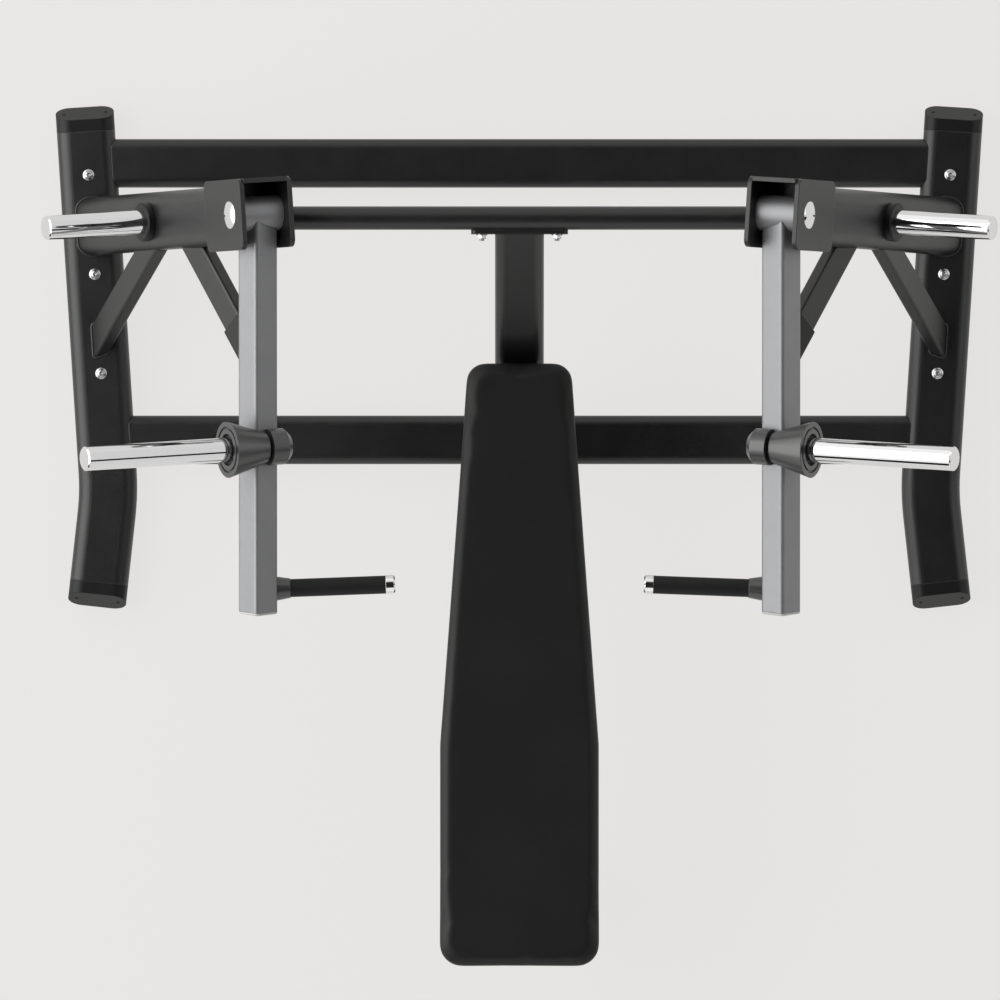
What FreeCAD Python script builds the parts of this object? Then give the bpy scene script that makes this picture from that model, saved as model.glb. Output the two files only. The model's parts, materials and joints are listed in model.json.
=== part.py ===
import FreeCAD, Part
import math
import os
import re
import Sketcher

# A plate-loaded lying chest press: two cranked base rails joined by two crossbars, a post leaning
# inward from each rail, and on each post a tilted hinge that carries one press arm.
# The two sides mirror each other in the YZ plane, so only the left one is drawn.
# +X is the lifter's right when seen from above with the head end at +Y, and +Z is up.

doc = FreeCAD.newDocument("ChestPress")
sheet = doc.addObject("Spreadsheet::Sheet", "Sizes")

sizes = {
    # side structure: its lean and yaw, and the point where the hinge axis is measured from
    "lean": 25.0, "yaw": 3.65, "pivot_x": 551.5, "pivot_y": 657.6, "pivot_z": 758.0,
    # oval tube of the rails and posts
    "oval_wide": 120.0, "oval_high": 60.0, "oval_corner": 28.0, "tube_wall": 3.0,
    # base rails
    "foot_high": 10.0, "rail_back_x": 892.6, "rail_back_y": 832.7, "rail_long_run": 745.7,
    "rail_short_run": 185.4, "rail_bend": 9.9, "rail_bend_radius": 500.0,
    "cap_top": 24.6, "cap_bottom": 50.6, "cap_plug": 20.0, "cap_screw_off": 43.0,
    "cap_screw_radius": 4.5, "cap_screw_high": 1.6,
    "rail_bolt_first": 90.0, "rail_bolt_step": 204.6, "rail_bolt_radius": 11.8,
    "rail_bolt_high": 6.0, "rubber_radius": 26.0,
    # crossbars between the rails
    "bar_wide": 100.0, "bar_high": 50.0, "bar_corner": 20.0, "bar_z": 40.0,
    "rear_bar_y": 767.0, "front_bar_y": 197.6, "bar_reach": 860.0,
    # hinge bracket on top of each post
    "post_face": 35.0, "post_top": 62.0, "post_length": 800.0, "plate": 10.0,
    "ear_wide": 145.0, "ear_high": 177.0, "ear_corner": 18.0, "ear_drop": 29.5, "ear_gap": 97.3,
    "axle_radius": 15.0, "axle_cap_radius": 28.5, "axle_cap_high": 7.0,
    # plate storage horn
    "horn_radius": 25.0, "horn_root": 24.0, "root_gap": 1.0, "horn_chamfer": 2.5,
    "storage_drop": 425.0, "storage_length": 230.0, "collar_radius": 40.0, "collar_high": 16.0,
    # braces
    "brace_wide": 60.0, "brace_thick": 30.0, "brace_corner": 6.0,
    "outer_brace_drop": 484.0, "outer_brace_angle": 58.3, "outer_brace_length": 420.0,
    "stop_brace_rise": 26.0, "stop_brace_yaw": 28.2, "stop_brace_roll": 47.0,
    "stop_end_x": 527.0, "stop_end_y": 345.0, "stop_end_z": 652.0, "stop_brace_length": 400.0,
    "sleeve_length": 115.0, "sleeve_extra": 5.0, "stop_gap": 0.5,
    # press arm, measured along the arm from the hinge axis
    "arm_wide": 60.0, "arm_corner": 8.0, "arm_wall": 3.0, "arm_in": 19.0, "arm_start": 12.0,
    "arm_length": 820.0, "arm_pitch": 7.77, "arm_roll": 29.0, "arm_plug_high": 5.0,
    "barrel_radius": 36.5, "barrel_play": 0.5, "bush_radius": 19.0, "bush_length": 30.0,
    "bush_play": 0.05,
    # weight horn and its hub
    "horn_along": 483.0, "horn_lift": 42.0, "horn_length": 390.0, "hub_inner": 32.0,
    "hub_outer": 57.5, "hub_back": 15.0, "hub_front": 69.0, "hub_cap_near": 22.0,
    "hub_cap_far": 68.0, "hub_cap_radius": 37.0, "hub_ring_radius": 45.0, "hub_ring_wide": 5.0,
    "hub_ring_deep": 4.0, "hub_recess_radius": 33.0, "hub_recess_deep": 9.0,
    # handle
    "handle_along": 774.5, "handle_drop": 22.0, "handle_yaw": 2.1, "socket_start": 10.0,
    "socket_end": 66.0, "socket_big": 29.5, "socket_small": 20.0, "bar_radius": 12.5,
    "grip_radius": 18.5, "grip_end": 261.0, "collar_end": 280.0, "end_radius": 19.0,
    # tube between the inner ears, its flange and the spine
    "cross_radius": 24.0, "cross_y": 649.7, "cross_z": 690.0, "flange_wide": 198.0,
    "flange_high": 130.0, "flange_corner": 10.0, "flange_y": 625.5, "flange_z": 633.0,
    "tube_flange_thick": 10.0, "spine_flange_thick": 8.5, "flange_bolt_off": 77.0,
    "flange_bolt_rise": 40.0, "flange_bolt_radius": 11.5, "flange_bolt_high": 16.0,
    "spine_wide": 100.0, "spine_high": 50.0, "spine_corner": 22.0, "spine_pitch": 49.8,
    "beam_z": 322.0, "beam_front_y": -770.0,
    "centre_post_wide": 60.0, "leg_y": -735.0, "leg_wide": 60.0, "leg_corner": 8.0,
    "front_foot_long": 300.0, "front_foot_wide": 60.0, "foot_cap_thick": 5.0,
    # pad
    "pad_head_y": 353.8, "pad_foot_y": -881.5, "pad_taper_y": -426.0, "pad_head_half": 106.6,
    "pad_half": 163.2, "pad_head_corner": 41.0, "pad_foot_corner": 47.0, "pad_top": 430.0,
    "pad_thick": 60.0, "board_thick": 15.0, "board_inset": 8.0,
    "bracket_long": 190.0, "bracket_wide": 60.0, "bracket_thick": 8.0,
    "bracket_rear_y": 200.0, "bracket_front_y": -600.0, "pad_bolt_off": 75.0,
    "pad_bolt_radius": 8.0, "pad_bolt_high": 5.5,
}
for row, (alias, number) in enumerate(sizes.items(), start=1):
    sheet.set("A%d" % row, alias.replace("_", " "))
    sheet.set("B%d" % row, str(number))
    sheet.setAlias("B%d" % row, alias)
doc.recompute()

up = FreeCAD.Vector(0, 0, 1)
zero = FreeCAD.Vector(0, 0, 0)
nodes = {}


def cells(text):
    """Turns a formula of aliases into one that FreeCAD reads from any object."""
    return re.sub(r"[a-z]\w*", r"Sizes.\g<0>", text)


def value(text):
    """The number that a formula of sheet cells gives."""
    return float(sheet.evalExpression(cells(text)))


def bind(item, **formulas):
    for name, text in formulas.items():
        item.setExpression(name, cells(text))
    return item


def frame_of(origin, x_axis, z_axis):
    """A placement whose X and Z axes are the two given directions."""
    y_axis = z_axis.cross(x_axis)
    turn = FreeCAD.Rotation(x_axis, y_axis, z_axis, "ZXY")
    return FreeCAD.Placement(origin, turn)


def primitive(kind, name, place=None, **formulas):
    item = bind(doc.addObject("Part::" + kind, name), **formulas)
    if place:
        item.Placement = place
    return item


def sketch_on(body, name, role):
    sketch = body.newObject("Sketcher::SketchObject", name)
    plane = [item for item in body.Origin.OriginFeatures if item.Role == role][0]
    sketch.AttachmentSupport = [(plane, "")]
    sketch.MapMode = "FlatFace"
    return sketch


def add_size(sketch, kind, *where, formula):
    """A dimension of the sketch that follows a formula of sheet cells."""
    index = sketch.addConstraint(Sketcher.Constraint(kind, *where, value(formula)))
    sketch.setExpression("Constraints[%d]" % index, cells(formula))


def add_rounded_loop(sketch, wide, high, corner):
    """A rounded rectangle centred on the sketch's origin, as four lines and four arcs."""
    half_x = value(wide) / 2
    half_y = value(high) / 2
    radius = value(corner)
    first = sketch.GeometryCount
    inner_x = half_x - radius
    inner_y = half_y - radius
    sides = [
        ((-inner_x, -half_y), (inner_x, -half_y), (inner_x, -inner_y), -90),
        ((half_x, -inner_y), (half_x, inner_y), (inner_x, inner_y), 0),
        ((inner_x, half_y), (-inner_x, half_y), (-inner_x, inner_y), 90),
        ((-half_x, inner_y), (-half_x, -inner_y), (-inner_x, -inner_y), 180),
    ]
    for start, end, centre, angle in sides:
        line = Part.LineSegment(FreeCAD.Vector(*start, 0), FreeCAD.Vector(*end, 0))
        circle = Part.Circle(FreeCAD.Vector(*centre, 0), up, radius)
        arc = Part.ArcOfCircle(circle, math.radians(angle), math.radians(angle + 90))
        sketch.addGeometry([line, arc], False)
    for index in range(8):
        following = first + (index + 1) % 8
        sketch.addConstraint(Sketcher.Constraint("Tangent", first + index, 2, following, 1))
    for index, kind in enumerate(["Horizontal", "Vertical", "Horizontal", "Vertical"]):
        sketch.addConstraint(Sketcher.Constraint(kind, first + 2 * index))
    for index in (3, 5, 7):
        sketch.addConstraint(Sketcher.Constraint("Equal", first + 1, first + index))
    sketch.addConstraint(Sketcher.Constraint("Symmetric", first, 1, first + 4, 1, -1, 1))
    add_size(sketch, "Radius", first + 1, formula=corner)
    add_size(sketch, "DistanceX", first + 6, 1, first + 2, 1, formula=wide)
    add_size(sketch, "DistanceY", first, 1, first + 4, 1, formula=high)


def section_sketch(body, name, role, wide, high, corner, wall):
    sketch = sketch_on(body, name, role)
    add_rounded_loop(sketch, wide, high, corner)
    if wall:
        add_rounded_loop(sketch, "%s - 2 * %s" % (wide, wall), "%s - 2 * %s" % (high, wall),
                         "%s - %s" % (corner, wall))
    return sketch


def box_tube(name, section, length, place, wall=None, shift=None):
    """A tube, or a solid bar where wall is None, along its own Z axis."""
    body = doc.addObject("PartDesign::Body", name)
    sketch = section_sketch(body, name + "Section", "XY_Plane", *section, wall)
    pad = body.newObject("PartDesign::Pad", name + "Pad")
    pad.Profile = sketch
    bind(pad, Length=length)
    if shift:
        place = place.multiply(FreeCAD.Placement(shift, FreeCAD.Rotation()))
    body.Placement = place
    return body


def round_bar(name, radius, length, place, chamfer=None):
    """A turned bar along its own Z axis, with a chamfer round its far end."""
    body = doc.addObject("PartDesign::Body", name)
    sketch = sketch_on(body, name + "Section", "XY_Plane")
    sketch.addGeometry(Part.Circle(zero, up, value(radius)), False)
    sketch.addConstraint(Sketcher.Constraint("Coincident", 0, 3, -1, 1))
    add_size(sketch, "Radius", 0, formula=radius)
    pad = body.newObject("PartDesign::Pad", name + "Pad")
    pad.Profile = sketch
    bind(pad, Length=length)
    if chamfer:
        doc.recompute()
        edge = far_edge(pad.Shape)
        bevel = body.newObject("PartDesign::Chamfer", name + "Bevel")
        bevel.Base = (pad, [edge])
        bind(bevel, Size=chamfer)
    body.Placement = place
    return body


def far_edge(shape):
    """The name of the edge that lies furthest along Z."""
    heights = [edge.CenterOfMass.z for edge in shape.Edges]
    return "Edge%d" % (1 + heights.index(max(heights)))


def dome(name, radius, high, place):
    """A shallow spherical cap that stands on the XY plane."""
    ball_radius = (value(radius) ** 2 + value(high) ** 2) / (2 * value(high))
    ball = primitive("Sphere", name + "Ball", None, Radius="(%s * %s + %s * %s) / (2 * %s)"
                     % (radius, radius, high, high, high))
    ball.Placement.Base = FreeCAD.Vector(0, 0, value(high) - ball_radius)
    rim = primitive("Cylinder", name + "Rim", None, Radius=radius, Height=high)
    cap = doc.addObject("Part::Common", name)
    cap.Base = ball
    cap.Tool = rim
    cap.Placement = place
    return cap


def cut(name, base, *tools):
    """The base with every tool taken away from it."""
    result = base
    for index, tool in enumerate(tools, start=1):
        step = doc.addObject("Part::Cut", name if index == len(tools) else name + str(index))
        step.Base = result
        step.Tool = tool
        result = step
    return result


def group(name, items):
    """Separate solids that share one node."""
    item = doc.addObject("Part::Compound", name)
    item.Links = items
    return item


def mirrored(source, name):
    item = doc.addObject("Part::Mirroring", name)
    item.Source = source
    item.Normal = FreeCAD.Vector(1, 0, 0)
    item.Base = zero
    return item


def keep(item, node):
    item.Label = node
    nodes[node] = item
    return item


def keep_pair(item, node):
    """Keeps the left piece and its mirror image as two nodes."""
    keep(item, node + "_left")
    keep(mirrored(item, node + "Mirror"), node + "_right")


def keep_both_sides(items, node):
    """Keeps pieces and their mirror images as one node of separate solids."""
    images = [mirrored(item, item.Name + "Mirror") for item in items]
    keep(group(node + "Group", items + images), node)


# Directions of the left side structure: inward and level, towards the foot end and level,
# up along the post, and outward-up along the hinge axis and the horns.
lean = math.radians(value("lean"))
yaw = math.radians(value("yaw"))
inward = FreeCAD.Vector(math.cos(yaw), math.sin(yaw), 0)
forward = FreeCAD.Vector(math.sin(yaw), -math.cos(yaw), 0)
along_post = inward * math.sin(lean) + up * math.cos(lean)
along_axle = up * math.sin(lean) - inward * math.cos(lean)
pivot = FreeCAD.Vector(-value("pivot_x"), value("pivot_y"), value("pivot_z"))
rail_top = value("foot_high + oval_high")


def side_point(out, ahead, rise):
    """A point of the side structure, measured from the pivot along axle, forward and post."""
    return pivot + along_axle * out + forward * ahead + along_post * rise


def side_place(out, ahead, rise, z_axis, x_axis):
    return frame_of(side_point(out, ahead, rise), x_axis, z_axis)


oval = ("oval_wide", "oval_high", "oval_corner")
crossbar = ("bar_wide", "bar_high", "bar_corner")
brace = ("brace_wide", "brace_thick", "brace_corner")

below_rail_top = primitive("Box", "BelowRailTop", None, Length="3 * pivot_z", Width="3 * pivot_z",
                           Height="pivot_z")
below_rail_top.Placement.Base = FreeCAD.Vector(-value("1.5 * pivot_z"), -value("1.5 * pivot_z"),
                                               rail_top - value("pivot_z"))


def make_rail():
    """A cranked oval tube lying on its feet, from the rear cap's seam to the front cap's seam."""
    place = frame_of(FreeCAD.Vector(-value("rail_back_x"), value("rail_back_y"),
                                    value("foot_high + oval_high / 2")), inward, up)
    rail = rail_body("Rail", place, "tube_wall")
    keep_pair(rail, "rail")
    return place, rail_body("RailEnvelope", place, None)


def rail_body(name, place, wall):
    bend = math.radians(value("rail_bend"))
    radius = value("rail_bend_radius")
    setback = radius * math.tan(bend / 2)
    long_run = value("rail_long_run") - setback
    short_run = value("rail_short_run") - setback
    away = FreeCAD.Vector(-math.sin(bend), -math.cos(bend), 0)
    centre = FreeCAD.Vector(-radius, -long_run, 0)
    start = FreeCAD.Vector(0, -long_run, 0)
    end = centre + FreeCAD.Vector(math.cos(bend), -math.sin(bend), 0) * radius
    body = doc.addObject("PartDesign::Body", name)
    path = sketch_on(body, name + "Path", "XY_Plane")
    path.addGeometry([
        Part.LineSegment(zero, start),
        Part.ArcOfCircle(Part.Circle(centre, up, radius), -bend, 0),
        Part.LineSegment(end, end + away * short_run),
    ], False)
    section = section_sketch(body, name + "Section", "XZ_Plane", *oval, wall)
    pipe = body.newObject("PartDesign::AdditivePipe", name + "Pipe")
    pipe.Profile = section
    pipe.Spine = (path, ["Edge1", "Edge2", "Edge3"])
    body.Placement = place
    return body


def make_rail_caps(rail_place):
    """Slanted plastic end caps, each with a plug inside the tube and two screws."""
    vertex = forward * value("rail_long_run")
    turned = FreeCAD.Rotation(up, -value("rail_bend")).multVec(forward)
    rear_seam = rail_place.Base
    front_seam = rear_seam + vertex + turned * value("rail_short_run")
    caps = []
    screws = []
    for name, seam, away in (("Rear", rear_seam, forward * -1), ("Front", front_seam, turned)):
        across = away.cross(up) * -1
        place = frame_of(seam, across, away)
        block = box_tube(name + "CapBlock", oval, "cap_bottom", place)
        fall = value("cap_bottom - cap_top")
        slope = math.atan2(fall, value("oval_high"))
        top_edge = seam + away * value("cap_top") + up * value("oval_high / 2")
        outward = away * math.cos(slope) + up * math.sin(slope)
        face = frame_of(top_edge, across, outward)
        knife = primitive("Box", name + "CapKnife", None, Length="2 * oval_wide",
                          Width="4 * oval_high", Height="cap_bottom")
        knife.Placement = face.multiply(FreeCAD.Placement(
            FreeCAD.Vector(-value("oval_wide"), -value("2 * oval_high"), 0), FreeCAD.Rotation()))
        head = cut(name + "CapHead", block, knife)
        inner = ("oval_wide - 2 * tube_wall - 0.6", "oval_high - 2 * tube_wall - 0.6",
                 "oval_corner - tube_wall - 0.3")
        plug = box_tube(name + "CapPlug", inner, "cap_plug", place,
                        shift=FreeCAD.Vector(0, 0, -value("cap_plug")))
        cap = doc.addObject("Part::Fuse", name + "Cap")
        cap.Base = head
        cap.Tool = plug
        caps.append(cap)
        middle = top_edge + (away * fall - up * value("oval_high")) * 0.5
        for side in (-1, 1):
            spot = middle + across * side * value("cap_screw_off")
            screws.append(dome("%sScrew%d" % (name, side + 1), "cap_screw_radius",
                               "cap_screw_high", frame_of(spot, across, outward)))
    keep_both_sides(caps, "rail_caps")
    keep_both_sides(screws, "cap_screws")


def make_crossbars(rail_envelope):
    right_envelope = mirrored(rail_envelope, "RightRailEnvelope")
    envelopes = group("RailEnvelopes", [rail_envelope, right_envelope])
    for name, y_text in (("rear", "rear_bar_y"), ("front", "front_bar_y")):
        place = FreeCAD.Placement(FreeCAD.Vector(-value("bar_reach"), value(y_text), value("bar_z")),
                                  FreeCAD.Rotation(FreeCAD.Vector(0, 1, 0), FreeCAD.Vector(0, 0, 1),
                                                   FreeCAD.Vector(1, 0, 0), "ZXY"))
        bar = box_tube(name + "Bar", crossbar, "2 * bar_reach", place, "tube_wall")
        keep(cut(name + "BarCoped", bar, envelopes), name + "_crossbar")


def make_rail_bolts(rail_place):
    """Button heads on the rails' tops and, under each, a rubber foot."""
    bolts = []
    feet = []
    for index in range(3):
        run = value("rail_bolt_first") + index * value("rail_bolt_step")
        spot = rail_place.Base + forward * run
        spot.z = rail_top
        bolts.append(dome("RailBolt%d" % index, "rail_bolt_radius", "rail_bolt_high",
                          FreeCAD.Placement(spot, FreeCAD.Rotation())))
        feet.append(primitive("Cylinder", "RailFoot%d" % index,
                              FreeCAD.Placement(FreeCAD.Vector(spot.x, spot.y, 0),
                                                FreeCAD.Rotation()),
                              Radius="rubber_radius", Height="foot_high"))
    keep_both_sides(bolts, "rail_bolts")
    return feet


def make_post():
    """An oval tube that leans inward, cut level with the rail's top."""
    middle = value("post_face - oval_high / 2")
    place = side_place(middle, 0, -value("post_top"), along_post * -1, forward)
    tube = box_tube("Post", oval, "post_length", place, "tube_wall")
    solid = box_tube("PostEnvelope", oval, "post_length", place)
    keep_pair(cut("PostCut", tube, below_rail_top), "post")
    return solid


def make_braces(post_envelope):
    """The outer brace lies in the side's own plane, from the post's front down to the rail."""
    middle = value("post_face - oval_high / 2")
    angle = math.radians(value("outer_brace_angle"))
    down = forward * math.cos(angle) - along_post * math.sin(angle)
    across = along_post * math.cos(angle) + forward * math.sin(angle)
    place = side_place(middle, value("oval_wide / 4"),
                       -value("outer_brace_drop") + value("oval_wide / 4") * math.tan(angle),
                       down, across)
    outer = box_tube("OuterBrace", brace, "outer_brace_length", place, "tube_wall")
    keep_pair(cut("OuterBraceCoped", outer, post_envelope, below_rail_top), "outer_brace")


def make_stop(post_envelope, arm_envelope):
    """The inner brace climbs from the post to just under the arm and ends in a rubber sleeve."""
    rise = math.radians(value("stop_brace_rise"))
    heading = math.radians(value("stop_brace_yaw"))
    level = FreeCAD.Vector(math.sin(heading), -math.cos(heading), 0)
    climb = level * math.cos(rise) + up * math.sin(rise)
    end = FreeCAD.Vector(-value("stop_end_x"), value("stop_end_y"), value("stop_end_z"))
    side = up.cross(level)
    roll = FreeCAD.Rotation(climb, value("stop_brace_roll"))
    across = roll.multVec(side)
    start = end - climb * value("stop_brace_length")
    bar = box_tube("StopBrace", brace, "stop_brace_length - 3", frame_of(start, across, climb),
                   "tube_wall")
    solid = box_tube("StopEnvelope", brace, "stop_brace_length - 3",
                     frame_of(start, across, climb))
    behind_post = primitive("Box", "BehindPost", None, Length="pivot_z", Width="pivot_z",
                            Height="2 * pivot_z")
    behind_post.Placement = frame_of(side_point(value("-1 * pivot_z / 2"), 0, -value("pivot_z")),
                                     along_axle, along_post)
    ahead = forward * value("oval_wide / 3 - pivot_z")
    behind_post.Placement.Base = behind_post.Placement.Base + ahead
    coped = cut("StopBraceCoped", bar, post_envelope, behind_post, arm_envelope)
    keep_pair(coped, "stop_brace")
    sleeve_section = ("brace_wide + 2 * sleeve_extra", "brace_thick + 2 * sleeve_extra",
                      "brace_corner + sleeve_extra")
    sleeve_start = end - climb * value("sleeve_length")
    sleeve = box_tube("Sleeve", sleeve_section, "sleeve_length",
                      frame_of(sleeve_start, across, climb))
    keep_both_sides([cut("StopPad", sleeve, solid, arm_envelope)], "stop_pads")


def make_bracket(axle_envelope):
    """Two ears, a web behind the hinge and a base plate on the post's top."""
    ear = ("ear_wide", "ear_high", "ear_corner")
    for name, out in (("outer", value("post_face")), ("inner", -value("ear_gap - post_face + plate"))):
        place = side_place(out, 0, -value("ear_drop"), along_axle, forward)
        plate = box_tube(name + "Ear", ear, "plate", place)
        keep_pair(cut(name + "EarBored", plate, axle_envelope), name + "_ear")
    floor = primitive("Box", "BracketFloor", None, Length="ear_gap", Width="ear_wide",
                      Height="plate")
    floor.Placement = side_place(value("post_face - ear_gap"), -value("ear_wide / 2"),
                                 -value("post_top"), along_post, along_axle)
    web = primitive("Box", "BracketWeb", None, Length="ear_gap", Width="plate",
                    Height="post_top + ear_high / 2 - ear_drop")
    web.Placement = floor.Placement
    back = doc.addObject("Part::Fuse", "BracketBack")
    back.Base = floor
    back.Tool = web
    keep_pair(back, "bracket_back")


def make_axle():
    """The hinge pin through both ears, with a domed cap on its outer end."""
    inner_end = -value("ear_gap - post_face + plate")
    length = "ear_gap + 2 * plate"
    place = side_place(inner_end, 0, 0, along_axle, forward)
    axle = round_bar("Axle", "axle_radius", length, place)
    keep_both_sides([axle], "pivot_axles")
    cap_place = side_place(value("post_face + plate"), 0, 0, along_axle, forward)
    keep_both_sides([dome("AxleCap", "axle_cap_radius", "axle_cap_high", cap_place)], "axle_caps")
    return primitive("Cylinder", "AxleEnvelope", place, Radius="axle_radius", Height=length)


def stepped_horn(name, place, root_length, length):
    """A plate horn whose thinner root sits in the collar or hub."""
    root = primitive("Cylinder", name + "Root", place, Radius="horn_root", Height=root_length)
    start = FreeCAD.Placement(FreeCAD.Vector(0, 0, value(root_length)), FreeCAD.Rotation())
    bar = round_bar(name + "Bar", "horn_radius", "%s - (%s)" % (length, root_length),
                    place.multiply(start), "horn_chamfer")
    horn = doc.addObject("Part::Fuse", name)
    horn.Base = bar
    horn.Tool = root
    return horn


def make_storage_horn():
    place = side_place(value("post_face"), 0, -value("storage_drop"), along_axle, forward)
    horn = stepped_horn("StorageHorn", place, "collar_high + root_gap", "storage_length")
    keep_pair(horn, "storage_horn")
    collar = round_bar("StorageCollar", "collar_radius", "collar_high", place, "horn_chamfer")
    hole = primitive("Cylinder", "CollarHole", place, Radius="horn_root", Height="collar_high")
    keep_both_sides([cut("StorageCollarBored", collar, hole)], "storage_collars")


# The arm's own directions: along it towards the foot end, and square to it and the hinge axis.
arm_pitch = math.radians(value("arm_pitch"))
along_arm = FreeCAD.Vector(0, -math.cos(arm_pitch), -math.sin(arm_pitch))
above_arm = along_axle.cross(along_arm)


def arm_point(out, ahead):
    return pivot + along_axle * out + along_arm * ahead


def arm_section(grow=0):
    return ("arm_wide + %g" % (2 * grow), "arm_wide + %g" % (2 * grow), "arm_corner + %g" % grow)


def arm_place(ahead):
    """On the arm's centre line, with the square section rolled onto its edge."""
    roll = FreeCAD.Rotation(along_arm, value("arm_roll - 45"))
    return frame_of(arm_point(-value("arm_in"), ahead), roll.multVec(along_axle), along_arm)


def make_arm():
    """Square tube from the barrel to its end plug, and the barrel with its two bushes."""
    ends = {"out": value("post_face - barrel_play"),
            "in": -value("ear_gap - post_face - barrel_play")}
    length = "ear_gap - 2 * barrel_play"
    place = side_place(ends["in"], 0, 0, along_axle, forward)
    barrel = round_bar("Barrel", "barrel_radius", length, place)
    bore = primitive("Cylinder", "BarrelBore", place, Radius="bush_radius", Height=length)
    keep_pair(cut("BarrelBored", barrel, bore), "pivot_barrel")
    bushes = []
    for index, out in enumerate((ends["in"], ends["out"] - value("bush_length"))):
        bush_place = side_place(out, 0, 0, along_axle, forward)
        shell = primitive("Cylinder", "BushShell%d" % index, bush_place, Radius="bush_radius",
                          Height="bush_length")
        hole = primitive("Cylinder", "BushHole%d" % index, bush_place,
                         Radius="axle_radius + bush_play", Height="bush_length")
        bushes.append(cut("Bush%d" % index, shell, hole))
    keep_pair(group("Bushes", bushes), "arm_bushes")
    solid_barrel = primitive("Cylinder", "BarrelEnvelope", place, Radius="barrel_radius",
                             Height=length)
    tube = box_tube("Arm", arm_section(), "arm_length - arm_start", arm_place(value("arm_start")),
                    "arm_wall")
    keep_pair(cut("ArmCoped", tube, solid_barrel), "arm")
    plug = box_tube("ArmPlug", arm_section(), "arm_plug_high", arm_place(value("arm_length")))
    doc.recompute()
    soft = plug.newObject("PartDesign::Fillet", "ArmPlugSoft")
    soft.Base = (plug.Group[-2], far_face_edges(plug.Group[-2].Shape))
    bind(soft, Radius="0.7 * arm_plug_high")
    keep_pair(plug, "arm_end_plug")
    return box_tube("ArmEnvelope", arm_section(), "arm_length", arm_place(0))


def far_face_edges(shape):
    """The names of the edges round the face that lies furthest along Z."""
    top = max(edge.CenterOfMass.z for edge in shape.Edges)
    return ["Edge%d" % index for index, edge in enumerate(shape.Edges, start=1)
            if abs(edge.CenterOfMass.z - top) < 0.01]


def make_weight_horn(arm_envelope):
    """The chrome horn, the black hub saddled over the arm, and the black cap at its inner end."""
    centre = arm_point(-value("arm_in"), value("horn_along")) + up * value("horn_lift")
    place = frame_of(centre, along_arm, along_axle)
    horn = stepped_horn("WeightHorn", place, "hub_front + root_gap", "horn_length")
    keep_pair(cut("WeightHornCoped", horn, arm_envelope), "weight_horn")
    horn_space = primitive("Cylinder", "HornSpace", place, Radius="horn_root",
                           Height="horn_length")
    hub_place = frame_of(centre - along_axle * value("hub_back"), along_arm, along_axle)
    hub = primitive("Cone", "Hub", hub_place, Radius1="hub_inner", Radius2="hub_outer",
                    Height="hub_back + hub_front")
    face_place = frame_of(centre + along_axle * value("hub_front - hub_recess_deep"), along_arm,
                          along_axle)
    recess = primitive("Cylinder", "HubRecess", face_place, Radius="hub_recess_radius",
                       Height="hub_recess_deep")
    ring_place = frame_of(centre + along_axle * value("hub_front - hub_ring_deep"), along_arm,
                          along_axle)
    ring_out = primitive("Cylinder", "HubRingOuter", ring_place,
                         Radius="hub_ring_radius + hub_ring_wide / 2", Height="hub_ring_deep")
    ring_in = primitive("Cylinder", "HubRingInner", ring_place,
                        Radius="hub_ring_radius - hub_ring_wide / 2", Height="hub_ring_deep")
    ring = cut("HubRing", ring_out, ring_in)
    keep_pair(cut("HubCut", hub, recess, ring, horn_space, arm_envelope), "horn_hub")
    cap_place = frame_of(centre - along_axle * value("hub_cap_near"), along_arm, along_axle * -1)
    cap = round_bar("HubCap", "hub_cap_radius", "hub_cap_far - hub_cap_near", cap_place,
                    "hub_cap_radius / 3")
    keep_pair(cut("HubCapCut", cap, arm_envelope), "hub_cap")


def make_handle(arm_envelope):
    """A steel bar with a conical socket, a rubber grip over it and a chrome end."""
    heading = math.radians(value("handle_yaw"))
    reach = FreeCAD.Vector(math.cos(heading), math.sin(heading), 0)
    root = arm_point(-value("arm_in"), value("handle_along")) - up * value("handle_drop")

    def handle_place(text):
        return frame_of(root + reach * value(text), up, reach)

    socket = primitive("Cone", "Socket", handle_place("socket_start"), Radius1="socket_big",
                       Radius2="socket_small", Height="socket_end - socket_start")
    core = primitive("Cylinder", "HandleCore", handle_place("socket_start"), Radius="bar_radius",
                     Height="collar_end - socket_start - 4")
    bar = doc.addObject("Part::Fuse", "HandleBar")
    bar.Base = socket
    bar.Tool = core
    keep_pair(cut("HandleBarCoped", bar, arm_envelope), "handle_bar")
    grip = round_bar("Grip", "grip_radius", "grip_end - socket_end", handle_place("socket_end"))
    keep_pair(cut("GripBored", grip, core), "handle_grip")
    end = round_bar("HandleEnd", "end_radius", "collar_end - grip_end", handle_place("grip_end"),
                    "horn_chamfer")
    keep_pair(cut("HandleEndBored", end, core), "handle_end")


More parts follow.
